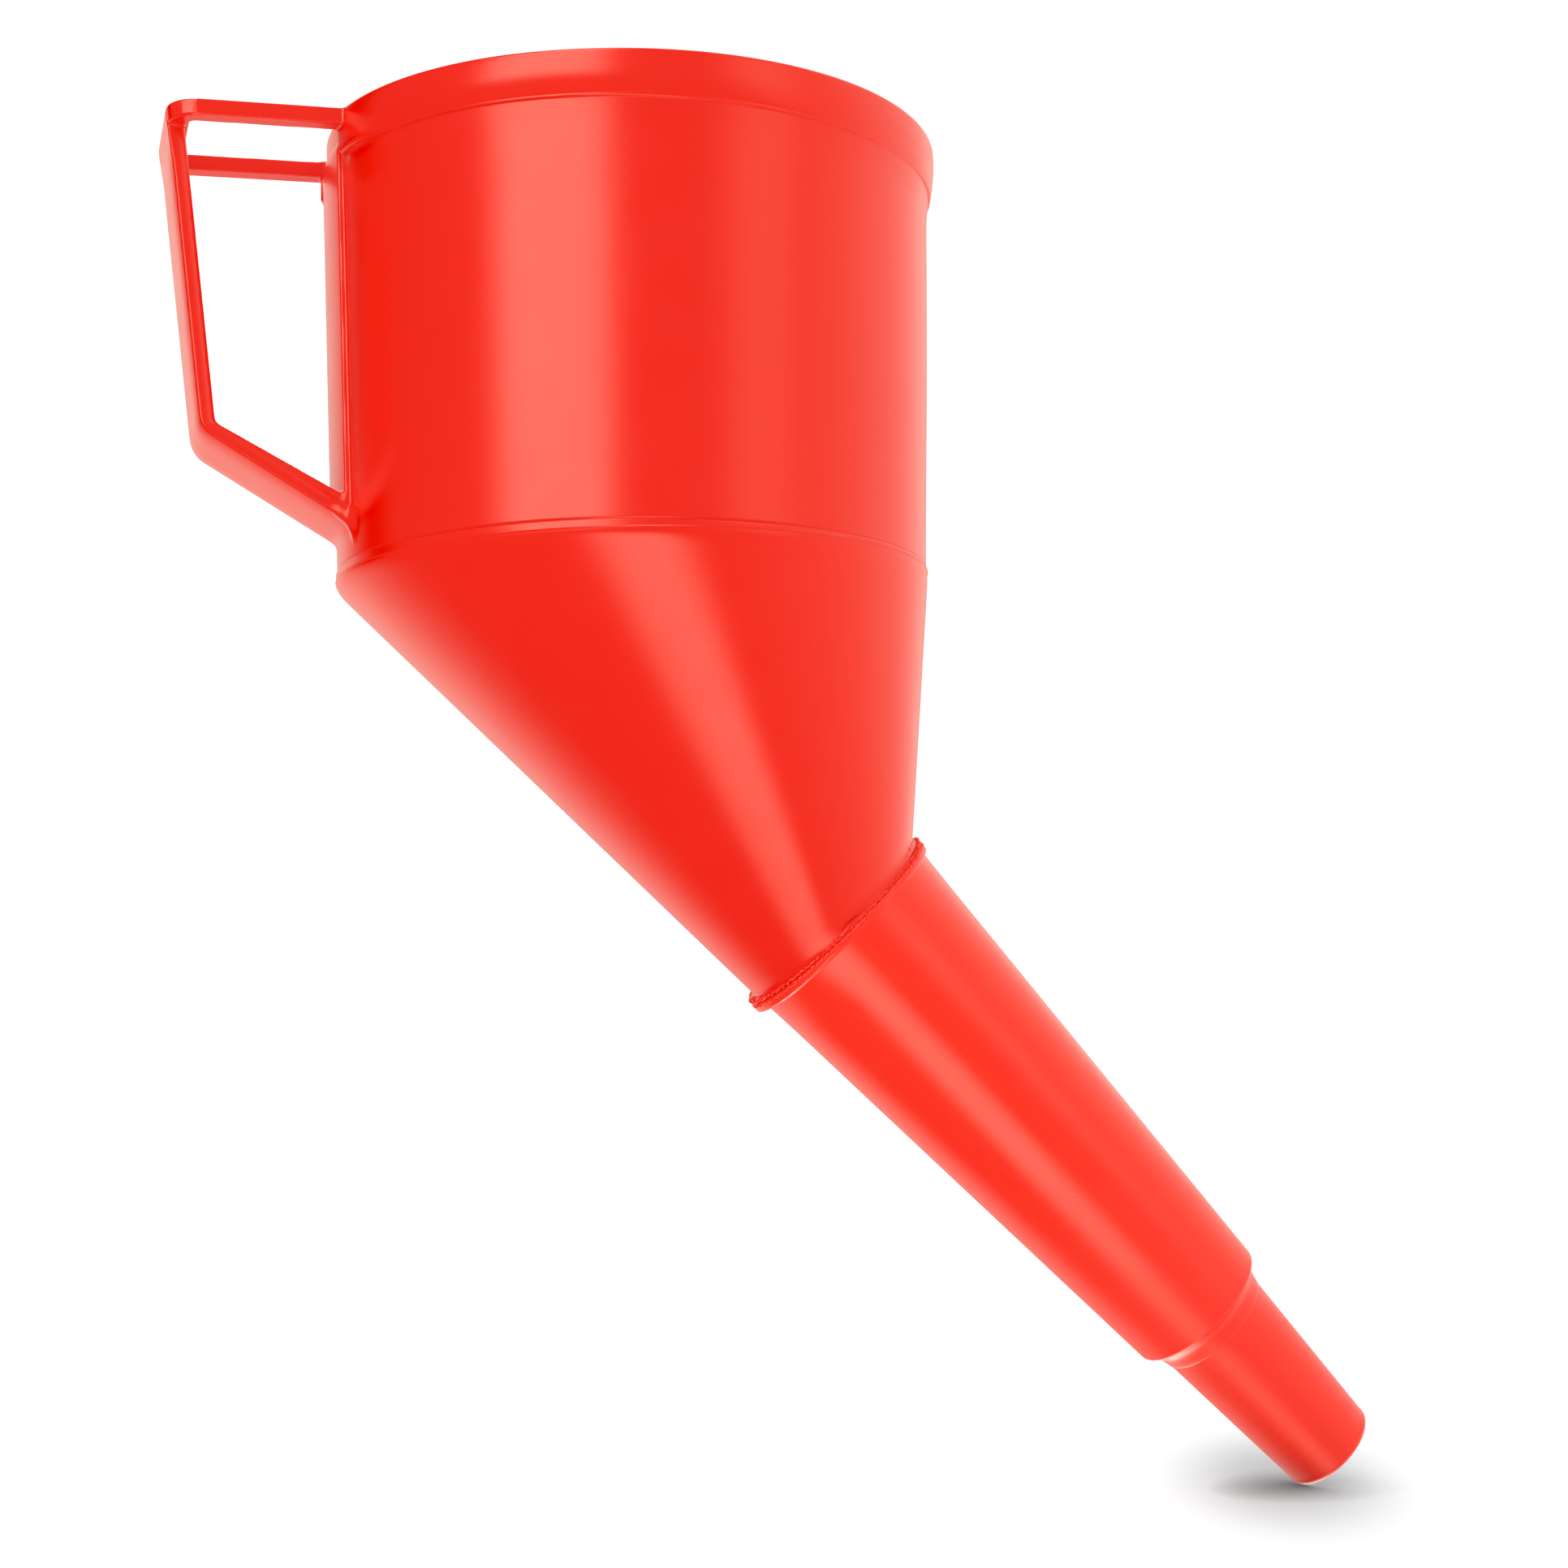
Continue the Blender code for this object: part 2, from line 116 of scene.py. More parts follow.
# ---------------------------------------------------------------- mesh helpers


def add_piece(name, points, faces, material, body, smooth_angle=40.0):
    """Makes a smooth-shaded mesh from points in local millimetres and hangs it on a CAD body."""
    mesh = bpy.data.meshes.new(name)
    world = (points + ORIGIN) * MM
    mesh.from_pydata(world.tolist(), [], faces if isinstance(faces, list) else faces.tolist())
    mesh.update()
    mesh.shade_smooth()
    if smooth_angle:
        mesh.set_sharp_from_angle(angle=math.radians(smooth_angle))
    mesh.materials.append(material)
    piece = bpy.data.objects.new(name, mesh)
    bpy.context.scene.collection.objects.link(piece)
    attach(piece, body)
    return piece


def quads_between(rows, columns, close_rows=True, start=0):
    """Faces of a grid whose columns run round in a ring, and whose rows do too if close_rows."""
    row = np.arange(rows if close_rows else rows - 1)
    column = np.arange(columns)
    r, c = np.meshgrid(row, column, indexing="ij")
    r_next = (r + 1) % rows
    c_next = (c + 1) % columns
    corners = [r * columns + c, r_next * columns + c, r_next * columns + c_next, r * columns + c_next]
    return np.stack([corner.ravel() for corner in corners], 1) + start


def outward(points, faces):
    """The same quads, turned over if they enclose a negative volume."""
    p = np.asarray(points)
    a, b, c, d = (p[faces[:, i]] for i in range(4))
    volume = np.einsum("ij,ij->", a, np.cross(b, c)) + np.einsum("ij,ij->", a, np.cross(c, d))
    return faces if volume > 0 else faces[:, ::-1]


def smoothstep(x, low, high):
    t = np.clip((x - low) / (high - low), 0.0, 1.0)
    return t * t * (3.0 - 2.0 * t)


def bezier(start, corner, end, t):
    return (1 - t) ** 2 * start + 2 * t * (1 - t) * corner + t * t * end


def arc_points(centre, radius, start, end, steps):
    turns = np.radians(np.linspace(start, end, steps + 1))
    return [(centre[0] + radius * math.cos(a), centre[1] + radius * math.sin(a)) for a in turns]


def neck_points(radius, height, angle):
    """Points around the spout's axis: height runs upstream from the middle of the joint."""
    radius, height, angle = np.broadcast_arrays(radius, height, angle)
    across = np.cos(angle)[..., None] * SIDEWAYS + np.sin(angle)[..., None] * ACROSS
    return NECK + height[..., None] * UPSTREAM + radius[..., None] * across


def tangent_angles(turns, top_radius, top_z, radius, height):
    """For points on a level circle, the angles on the neck circle that share their tangent planes.

    Lines between such pairs lie in the skin that wraps both circles, which is how the oblique cone is
    formed. The dip of the shared plane is found by halving.
    """
    centre = NECK + height * UPSTREAM
    low = np.full(turns.shape, -math.pi / 2)
    high = np.full(turns.shape, math.pi / 2)
    for _ in range(60):
        dip = (low + high) / 2
        d = np.stack([np.cos(turns) * np.cos(dip), np.sin(turns) * np.cos(dip), np.sin(dip)], -1)
        reach_top = top_radius * np.cos(dip) + top_z * d[:, 2]
        reach_neck = d @ centre + radius * np.hypot(d @ SIDEWAYS, d[:, 1])
        below = reach_neck > reach_top
        low = np.where(below, dip, low)
        high = np.where(below, high, dip)
    return np.arctan2(d[:, 1], d @ SIDEWAYS)


# ---------------------------------------------------------------- materials


def math_node(nodes, links, operation, a, b=None):
    node = nodes.new("ShaderNodeMath")
    node.operation = operation
    for socket, value in zip(node.inputs, (a, b)):
        if value is None:
            continue
        if isinstance(value, (int, float)):
            socket.default_value = value
        else:
            links.new(value, socket)
    return node.outputs[0]


def noise_node(nodes, links, place, scale, detail):
    node = nodes.new("ShaderNodeTexNoise")
    node.inputs["Scale"].default_value = scale
    node.inputs["Detail"].default_value = detail
    links.new(place.outputs["Object"], node.inputs["Vector"])
    return node.outputs["Fac"]


def color_between(nodes, links, factor, first, second):
    node = nodes.new("ShaderNodeMix")
    node.data_type = "RGBA"
    node.inputs["A"].default_value = (*first, 1.0)
    node.inputs["B"].default_value = (*second, 1.0)
    links.new(factor, node.inputs["Factor"])
    return node.outputs["Result"]


def value_between(nodes, links, factor, low, high):
    node = nodes.new("ShaderNodeMapRange")
    node.inputs["To Min"].default_value = low
    node.inputs["To Max"].default_value = high
    links.new(factor, node.inputs["Value"])
    return node.outputs["Result"]


def add_bump(nodes, links, shader, height, strength, distance):
    bump = nodes.new("ShaderNodeBump")
    bump.inputs["Strength"].default_value = strength
    bump.inputs["Distance"].default_value = distance
    links.new(height, bump.inputs["Height"])
    links.new(bump.outputs["Normal"], shader.inputs["Normal"])


def new_material(name):
    material = bpy.data.materials.new(name)
    material.use_nodes = True
    nodes = material.node_tree.nodes
    return material, nodes, material.node_tree.links, nodes["Principled BSDF"]


WEAR_START = 0.06  # metres downstream of the neck
WEAR_FULL = 0.15


def moulded_plastic(name, color, deep_color, roughness, scuffed=0.0):
    """Glossy moulded plastic: faint cloudiness in the colour, a fine orange-peel surface and uneven gloss.

    If scuffed, its gloss fades along the spout towards the tip, which rubs in filler necks.
    """
    material, nodes, links, shader = new_material(name)
    place = nodes.new("ShaderNodeTexCoord")
    cloud = noise_node(nodes, links, place, scale=22.0, detail=3.0)
    links.new(color_between(nodes, links, cloud, color, deep_color), shader.inputs["Base Color"])
    gloss = noise_node(nodes, links, place, scale=90.0, detail=5.0)
    dull = value_between(nodes, links, gloss, roughness - 0.03, roughness + 0.04)
    if scuffed:
        along = nodes.new("ShaderNodeVectorMath")
        along.operation = "DOT_PRODUCT"
        along.inputs[1].default_value = DOWNSTREAM.tolist()
        links.new(place.outputs["Object"], along.inputs[0])
        wear = nodes.new("ShaderNodeMapRange")
        wear.interpolation_type = "SMOOTHSTEP"
        neck = float((NECK + ORIGIN) @ DOWNSTREAM) * MM
        wear.inputs["From Min"].default_value = neck + WEAR_START
        wear.inputs["From Max"].default_value = neck + WEAR_FULL
        wear.inputs["To Max"].default_value = scuffed
        links.new(along.outputs["Value"], wear.inputs["Value"])
        dull = math_node(nodes, links, "ADD", dull, wear.outputs["Result"])
    links.new(dull, shader.inputs["Roughness"])
    peel = noise_node(nodes, links, place, scale=420.0, detail=2.0)
    add_bump(nodes, links, shader, peel, strength=0.05, distance=0.0003)
    shader.inputs["IOR"].default_value = 1.5
    shader.inputs["Specular Tint"].default_value = (0.6, 1.0, 0.88, 1.0)  # keeps the red from clipping
    return material


def rubber_material():
    """Black rubber with a soft shine and a very fine grain."""
    material, nodes, links, shader = new_material("black_rubber_skin")
    place = nodes.new("ShaderNodeTexCoord")
    grain = noise_node(nodes, links, place, scale=900.0, detail=3.0)
    shade = color_between(nodes, links, grain, (0.004, 0.004, 0.0045), (0.014, 0.014, 0.015))
    links.new(shade, shader.inputs["Base Color"])
    links.new(value_between(nodes, links, grain, 0.2, 0.34), shader.inputs["Roughness"])
    add_bump(nodes, links, shader, grain, strength=0.08, distance=0.0001)
    return material


def wire_material():
    """Bright drawn steel wire with faint darker stains."""
    material, nodes, links, shader = new_material("bright_wire")
    place = nodes.new("ShaderNodeTexCoord")
    stain = noise_node(nodes, links, place, scale=260.0, detail=4.0)
    tone = color_between(nodes, links, stain, (0.95, 0.95, 0.96), (0.72, 0.72, 0.75))
    links.new(tone, shader.inputs["Base Color"])
    shader.inputs["Metallic"].default_value = 0.55
    shader.inputs["Roughness"].default_value = 0.3
    return material


GLOSS = 0.24  # roughness of the moulded plastic
RED = moulded_plastic("red_body_plastic", (0.885, 0.0115, 0.0), (0.855, 0.0095, 0.0), GLOSS)
SPOUT_RED = moulded_plastic("red_spout_plastic", (0.985, 0.023, 0.006), (0.955, 0.020, 0.005), GLOSS, 0.14)
RUBBER = rubber_material()
WIRE = wire_material()

# ---------------------------------------------------------------- cup, rim, cone and neck


def shell_turns():
    """Angles around the cup: even all round, and close together where the rim ends beside the handle."""
    even = np.linspace(0.0, math.tau, 240, endpoint=False)
    rim_end = np.arange(RIM_GAP - 0.4, RIM_GAP + RIM_GAP_CORNER + 0.5, 0.1)
    close = np.arcsin(rim_end / (RIM_RADIUS - 0.4))
    turns = np.sort(np.concatenate([even, math.pi - close, math.pi + close]))
    apart = np.append(np.diff(turns) > 0.0006, True)
    return turns[apart]


def rim_profile():
    """Outer rim from the flat top, round its bulged face and under it, as (radius, z)."""
    top = CUP_TOP
    low = RIM_BOTTOM
    rows = [(68.9, top), (69.8, top), (70.8, top), (71.5, top)]
    rows += arc_points((71.7, top - 0.7), 0.7, 80, 8, 6)
    rows += [(RIM_RADIUS, top - 1.5), (RIM_RADIUS, top - 3.2), (72.28, top - 4.6), (72.02, top - 5.9)]
    rows += [(71.66, top - 7.1), (71.26, top - 8.2), (70.95, low + 0.68)]
    rows += arc_points((70.53, low + 0.38), 0.38, 25, -85, 5)
    rows += [(70.5, low), (70.42, low - 0.05), (70.38, low - 0.16), (70.36, low - 0.4)]
    return rows


def build_shell():
    """Cup, rim, cone and neck as one closed skin: down the outside, then up the inside."""
    turns = shell_turns()
    cosine = np.cos(turns)
    sine = np.sin(turns)
    out_of_true = np.maximum(np.cos(turns - FAR_SIDE), 0.0) ** 1.5
    rows = []

    def level(radius, z):
        """Adds a ring round the cup's axis."""
        radius, z = np.broadcast_arrays(np.asarray(radius, float), np.asarray(z, float))
        radius = np.broadcast_to(radius, turns.shape)
        z = np.broadcast_to(z, turns.shape)
        lift = RIM_LIFT * out_of_true * np.clip((z - RIM_BOTTOM) / (CUP_TOP - RIM_BOTTOM), 0.0, 1.0)
        rows.append(np.stack([radius * cosine, radius * sine, z + lift], -1))

    # Rim, with a break between the handle's rails; its ends keep their width almost down to the edge
    beside_handle = smoothstep(-cosine, 0.85, 0.95)
    for radius, z in rim_profile():
        above = z - RIM_BOTTOM
        inset = 0.0
        if above < RIM_GAP_CORNER:
            inset = RIM_GAP_CORNER - math.sqrt(max(RIM_GAP_CORNER**2 - (RIM_GAP_CORNER - above) ** 2, 0.0))
        past_end = np.where(cosine < 0.0, np.abs(radius * sine) - RIM_GAP - inset, 50.0)
        share = smoothstep(past_end, -0.25, 0.35)
        if RIM_BOTTOM - 0.04 < z < CUP_TOP - 4.0:
            at_edge = min(max((RIM_BOTTOM + 0.6 - z) / 0.3, 0.0), 1.0)
            radius = radius + (RIM_RADIUS - 0.2 - 0.6 * at_edge - radius) * beside_handle
        plain = np.minimum(radius, wall_radius(z) + 0.3)
        swell = WALL_SWELL * out_of_true * smoothstep(CUP_TOP - z, 5.0, 9.0)
        level(plain + (radius - plain) * share + swell, z)

    # Cup wall
    for below, flare in ((1.5, 0.36), (3.0, 0.2), (4.5, 0.08), (6.5, 0.0)):
        level(wall_radius(RIM_BOTTOM - below) + flare + WALL_SWELL * out_of_true, RIM_BOTTOM - below)
    for z in (75.0, 60.0, 45.0, 30.0, 18.0, 9.0, 4.0, 1.5, 0.6, 0.34):
        level(wall_radius(z) + WALL_SWELL * out_of_true * smoothstep(z, 0.0, 60.0), z)

    # Seam: a fine groove and a band that is widest below the handle
    handle_side = (1.0 - cosine) / 2.0
    band_low = -0.75 - 1.35 * handle_side
    for proud, z in ((-0.12, 0.2), (-0.16, 0.05), (0.1, -0.06), (0.26, -0.16), (0.3, -0.3)):
        level(WALL_SEAM_RADIUS + proud, z)
    level(WALL_SEAM_RADIUS + 0.3, band_low * 0.75)
    for proud, above in ((0.42, 0.18), (0.42, 0.06), (0.26, -0.08)):
        level(WALL_SEAM_RADIUS + proud, band_low + above)

    # Rounded shoulder and the oblique cone, along its straight lines
    corner_radius = WALL_SEAM_RADIUS + 0.22
    corner_z = -3.0
    shoulder = 2.6
    angle = tangent_angles(turns, corner_radius, corner_z, NECK_RADIUS, NECK_HEIGHT)
    corner = np.stack([corner_radius * cosine, corner_radius * sine, np.full(turns.shape, corner_z)], -1)
    end = neck_points(NECK_RADIUS, NECK_HEIGHT, angle)
    ruling = end - corner
    length = np.linalg.norm(ruling, axis=-1, keepdims=True)
    upper = corner.copy()
    upper[:, 2] = band_low - 0.2
    lower = corner + ruling / length * shoulder
    for t in np.linspace(0.0, 1.0, 9):
        rows.append(bezier(upper, corner, lower, t))
    for t in (0.08, 0.16, 0.26, 0.38, 0.5, 0.62, 0.74, 0.84, 0.92, 0.97, 1.0):
        start = shoulder / length
        rows.append(corner + ruling * (start + (1 - start) * t))

    # Collar of the neck, with a sliver smeared up the cone at one place, and its flat end at the weld
    bead = weld_swell(angle)
    smear = 0.6 * np.exp(-(((angle + 1.77) / 0.13) ** 2))
    collar = ((0.0, 1.8), (0.02, 1.65), (0.12, 1.5), (0.18, 1.35), (0.22, 1.0), (0.2, 0.6), (0.12, 0.3))
    for proud, height in collar:
        sliver = smear * min(proud / 0.12, 1.0)
        rows.append(neck_points(25.93 + proud * bead + sliver, weld_height(angle, height) + sliver, angle))
    rows.append(neck_points(25.6, weld_height(angle, 0.15), angle))
    inner_radius = WALL_SEAM_RADIUS - WALL_THICKNESS
    inner_z = -0.4
    bore_top = 2.6
    bore_height = 3.4
    inner_angle = tangent_angles(turns, inner_radius, inner_z, BORE_RADIUS, bore_height)
    rows.append(neck_points(24.6, weld_height(angle, 0.12), (angle + inner_angle) / 2))
    rows.append(neck_points(24.0, weld_height(inner_angle, 0.15), inner_angle))
    rows.append(neck_points(BORE_RADIUS, weld_height(inner_angle, 0.4), inner_angle))
    for height in (0.6, bore_top):
        rows.append(neck_points(BORE_RADIUS, height, inner_angle))

    # Inside of the cone, rounded into the bore below and into the cup above
    inner_corner = np.stack([inner_radius * cosine, inner_radius * sine, np.full(turns.shape, inner_z)], -1)
    inner_end = neck_points(BORE_RADIUS, bore_height, inner_angle)
    inner_ruling = inner_corner - inner_end
    inner_length = np.linalg.norm(inner_ruling, axis=-1, keepdims=True)
    bore_start = neck_points(BORE_RADIUS, bore_top, inner_angle)
    cone_start = inner_end + inner_ruling / inner_length * 2.0
    for t in np.linspace(0.15, 1.0, 6):
        rows.append(bezier(bore_start, inner_end, cone_start, t))
    fillet = 4.0
    cone_stop = inner_corner - inner_ruling / inner_length * fillet
    for t in np.linspace(0.1, 1.0, 9):
        rows.append(cone_start + (cone_stop - cone_start) * t)
    cup_start = inner_corner.copy()
    cup_start[:, 2] += fillet
    for t in np.linspace(0.15, 1.0, 7):
        rows.append(bezier(cone_stop, inner_corner, cup_start, t))
    for z in (15.0, 30.0, 45.0, 60.0, 75.0, 88.0, 96.0, CUP_TOP - 0.9):
        level(wall_radius(z) - WALL_THICKNESS, z)
    for radius, z in arc_points((68.8, CUP_TOP - 0.8), 0.8, 165, 100, 4):
        level(radius, z)

    points = np.concatenate(rows)
    faces = outward(points, quads_between(len(rows), len(turns)))
    return add_piece("funnel_shell", points, faces, RED, "funnel", 50.0)


# ---------------------------------------------------------------- handle, as a blended distance field


def polygon_distance(x, y, corners):
    """Distance from points to a closed polygon, negative inside."""
    nearest = np.full(x.shape, np.inf)
    inside = np.zeros(x.shape, bool)
    for (ax, ay), (bx, by) in zip(corners, corners[1:] + corners[:1]):
        ex, ey = bx - ax, by - ay
        length = ex * ex + ey * ey
        if length < 1e-12:
            continue
        t = np.clip(((x - ax) * ex + (y - ay) * ey) / length, 0.0, 1.0)
        nearest = np.minimum(nearest, (x - ax - ex * t) ** 2 + (y - ay - ey * t) ** 2)
        if ay != by:
            crossing = ax + (y - ay) / (by - ay) * ex
            inside ^= ((ay > y) != (by > y)) & (x < crossing)
    return np.where(inside, -1.0, 1.0) * np.sqrt(nearest)


def slab(outline, across, half, rounding):
    """An outline extruded to a half thickness, with rounded edges."""
    a = outline + rounding
    b = np.abs(across) - half + rounding
    return np.minimum(np.maximum(a, b), 0.0) + np.hypot(np.maximum(a, 0.0), np.maximum(b, 0.0)) - rounding


def blend_union(a, b, reach):
    """The union of two shapes, with a fillet where their surfaces are within reach of each other."""
    h = np.maximum(reach - np.abs(a - b), 0.0) / reach
    return np.minimum(a, b) - h * h * reach / 4.0


def blend_cut(a, b, reach):
    return -blend_union(-a, -b, reach)


def rounded_outline(corners, steps=6):
    """The outline through corners of (x, y, radius), each corner with a radius replaced by an arc."""
    outline = []
    for i, (x, y, radius) in enumerate(corners):
        here = Vector((x, y))
        if radius == 0.0:
            outline.append((x, y))
            continue
        before = (Vector(corners[i - 1][:2]) - here).normalized()
        after = (Vector(corners[(i + 1) % len(corners)][:2]) - here).normalized()
        half_angle = before.angle(after) / 2
        centre = here + (before + after).normalized() * radius / math.sin(half_angle)
        reach = radius / math.tan(half_angle)
        first = here + before * reach - centre
        sweep = first.angle_signed(here + after * reach - centre)
        for step in range(steps + 1):
            point = centre + Matrix.Rotation(-sweep * step / steps, 2) @ first
            outline.append((point.x, point.y))
    return outline


GRIP_HALF_WIDTH = 13.1
GRIP_THICKNESS = 3.7
GRIP_FOOT_X = -95.8  # outside of the grip at the height of the seam
GRIP_LEAN = -0.11
GRIP_TOP = 98.0
FACE_CROWN = 0.9  # how far the outer face falls from its middle to its edges
EDGE_FALL = 0.5  # how far the sides fall in from the outer to the inner face
ROOT_X = -62.0  # where the arm and the rails end, inside the cup's wall
ARM_LOWER = (7.6, -0.613)  # height at the cup's wall and slope of the arm's underside
ARM_UPPER = (13.8, -0.544)
RAIL_OUTER = 20.1
RAIL_INNER = 15.6
RAIL_HEIGHT = 3.8
RAIL_DROOP = 0.038
CROSSBAR_WIDTH = 4.6
PAD_HALF_WIDTH = 12.8  # the pad is the raised panel on the cup's wall inside the handle
PAD_PROUD = 1.25
PAD_BOTTOM = 8.0
PAD_TOP = 97.5


def grip_x(z, inset=0.0):
    return GRIP_FOOT_X + inset + GRIP_LEAN * z


RAIL_END = grip_x(GRIP_TOP)


def arm_z(x, at_cup, slope):
    return at_cup + slope * (x + WALL_SEAM_RADIUS)


def strap_outline():
    """Side outline of the grip and the sloping lower arm."""
    def meet(inset, at_cup, slope):
        z = (at_cup + slope * (GRIP_FOOT_X + inset + WALL_SEAM_RADIUS)) / (1 - slope * GRIP_LEAN)
        return grip_x(z, inset), z

    corners = [
        (grip_x(GRIP_TOP), GRIP_TOP, 0.0),
        (*meet(0.0, *ARM_LOWER), 6.5),
        (ROOT_X, arm_z(ROOT_X, *ARM_LOWER), 0.0),
        (ROOT_X, arm_z(ROOT_X, *ARM_UPPER), 0.0),
        (*meet(GRIP_THICKNESS, *ARM_UPPER), 2.2),
        (grip_x(GRIP_TOP, GRIP_THICKNESS), GRIP_TOP, 0.0),
    ]
    return rounded_outline(corners)


def rails_outline():
    """Plan of the two rails and the crossbar that joins them at the grip."""
    inner = RAIL_END + CROSSBAR_WIDTH
    corners = [
        (ROOT_X, -RAIL_OUTER, 0.0),
        (ROOT_X, -RAIL_INNER, 0.0),
        (inner, -RAIL_INNER, 1.5),
        (inner, RAIL_INNER, 1.5),
        (ROOT_X, RAIL_INNER, 0.0),
        (ROOT_X, RAIL_OUTER, 0.0),
        (RAIL_END, RAIL_OUTER, 7.0),
        (RAIL_END, -RAIL_OUTER, 7.0),
    ]
    return rounded_outline(corners, 10)


STRAP = strap_outline()
RAILS = rails_outline()
CUP_SECTION = [(50.0, -20.0), (wall_radius(-20.0), -20.0), (wall_radius(CUP_TOP), CUP_TOP), (50.0, CUP_TOP)]
RIM_SECTION = [(66.0, CUP_TOP), *rim_profile(), (66.0, RIM_BOTTOM - 0.3)]


def handle_parts(p):
    """Distances to the handle, to the pad and to the cup with its rim, and the depth inside the wall."""
    x, y, z = p[:, 0], p[:, 1], p[:, 2]

    # Grip and arm: inward is the depth from their outer face
    inward = np.minimum(x - grip_x(z), 0.85 * (z - arm_z(x, *ARM_LOWER)))
    crowned = (1.0 - smoothstep(inward, 0.8, 2.8)) * (1.0 - smoothstep(z, 84.0, 95.0))
    to_edge = np.minimum(np.abs(y) / GRIP_HALF_WIDTH, 1.0)
    outline = polygon_distance(x, z, STRAP) + FACE_CROWN * crowned * (to_edge**4 - 0.35)
    flat_side = 1.4
    past_flat = np.clip((inward - flat_side) / (GRIP_THICKNESS - flat_side), 0.0, 1.0)
    half_width = GRIP_HALF_WIDTH - EDGE_FALL * past_flat**2
    strap = slab(outline, y, half_width, 0.4 + 0.3 * smoothstep(inward, 0.6, 3.0))

    # Rails and crossbar
    top = CUP_TOP - 0.15 + RAIL_DROOP * (x + WALL_SEAM_RADIUS)
    leaning = x - GRIP_LEAN * (z - GRIP_TOP)
    rails = slab(polygon_distance(leaning, y, RAILS), z - top + RAIL_HEIGHT / 2, RAIL_HEIGHT / 2, 0.6)
    handle = blend_union(strap, rails, 0.5)

    radius = np.hypot(x, y)
    wall = wall_radius(z)
    pad = slab(radius - wall - PAD_PROUD, y, PAD_HALF_WIDTH, 0.35)
    pad = blend_cut(pad, np.maximum(z - PAD_TOP, PAD_BOTTOM - z), 5.5)
    pad = np.maximum(pad, x + 40.0)  # only on the handle's side

    cup = polygon_distance(radius, z, CUP_SECTION)
    rim = polygon_distance(radius, z, RIM_SECTION)
    above = np.clip(z - RIM_BOTTOM, 0.0, RIM_GAP_CORNER)
    inset = RIM_GAP_CORNER - np.sqrt(np.maximum(RIM_GAP_CORNER**2 - (RIM_GAP_CORNER - above) ** 2, 0.0))
    rim = blend_cut(rim, RIM_GAP + inset - np.abs(y), 0.5)
    return handle, pad, np.minimum(cup, rim), wall - radius


def handle_field(p):
    """Distance to the handle with its pad and fillets, and a thin layer of the cup where they meet."""
    handle, pad, cup, depth = handle_parts(p)
    under_arm = arm_z(p[:, 0], *ARM_UPPER) - p[:, 2]
    beside = smoothstep(under_arm, 0.5, 4.0) * smoothstep(-p[:, 1], 10.0, 14.0)
    reach = 1.5 - 0.9 * smoothstep(p[:, 2], 87.0, 93.0) + 3.5 * beside
    padded = blend_union(cup, pad, 0.5)
    whole = blend_union(handle, padded, reach)
    near = np.minimum(handle - 0.9 * reach - 0.3, pad - 0.6)
    return np.maximum(np.maximum(whole, near), depth - 1.1)


def surface_net(field, low, high, step):
    """Quads over the field's zero surface: one point in each grid cell that the surface crosses."""
    axes = [np.arange(a, b + step, step) for a, b in zip(low, high)]
    shape = tuple(len(axis) for axis in axes)
    grid = np.stack(np.meshgrid(*axes, indexing="ij"), -1)
    every = 4
    sparse = grid[::every, ::every, ::every]
    value = field(sparse.reshape(-1, 3)).reshape(sparse.shape[:3])
    for axis in range(3):
        value = value.repeat(every, axis)
    value = value[: shape[0], : shape[1], : shape[2]].copy()
    near = np.abs(value) < 9.0 * step
    value[near] = np.concatenate([field(part) for part in np.array_split(grid[near], 16)])
    cells = tuple(n - 1 for n in shape)
    total = np.zeros(cells + (3,))
    count = np.zeros(cells)
    crossings = []
    for axis in range(3):
        order = [axis, (axis + 1) % 3, (axis + 2) % 3]
        v = value.transpose(order)
        first, second = v[:-1], v[1:]
        cross = (first < 0) != (second < 0)
        t = np.where(cross, first / np.where(cross, first - second, 1.0), 0.0)
        spot = np.stack(np.meshgrid(*[np.arange(n) for n in first.shape], indexing="ij"), -1).astype(float)
        spot[..., 0] += t
        spot *= cross[..., None]
        back = np.argsort(order)
        for j in (0, 1):
            for k in (0, 1):
                window = (slice(None), slice(j, j + v.shape[1] - 1), slice(k, k + v.shape[2] - 1))
                total += spot[window].transpose(*back, 3)[..., back]
                count += cross[window].transpose(back)
        crossings.append((order, cross, first < 0))
    used = count > 0
    index = np.full(cells, -1)
    index[used] = np.arange(used.sum())
    points = total[used] / count[used][:, None] * step + np.array([axis[0] for axis in axes])
    quads = []
    for order, cross, starts_inside in crossings:
        cell = index.transpose(order)
        i, j, k = np.nonzero(cross[:, 1:-1, 1:-1])
        j += 1
        k += 1
        quad = np.stack([cell[i, j - 1, k - 1], cell[i, j, k - 1], cell[i, j, k], cell[i, j - 1, k]], 1)
        turned = ~starts_inside[i, j, k]
        quad[turned] = quad[turned][:, ::-1]
        quads.append(quad)
    return points, np.concatenate(quads)


def field_slope(points, field, h):
    return np.stack([(field(points + h * e) - field(points - h * e)) / (2 * h) for e in np.eye(3)], -1)


def settle(points, field, steps, most):
    """Moves points onto the field's zero surface along its slope."""
    for _ in range(steps):
        value = field(points)
        slope = field_slope(points, field, 0.02)
        size = np.maximum(np.einsum("ij,ij->i", slope, slope), 0.25)
        move = -slope * (value / size)[:, None]
        far = np.maximum(np.linalg.norm(move, axis=1), 1e-9)
        points = points + move * np.minimum(1.0, most / far)[:, None]
    return points


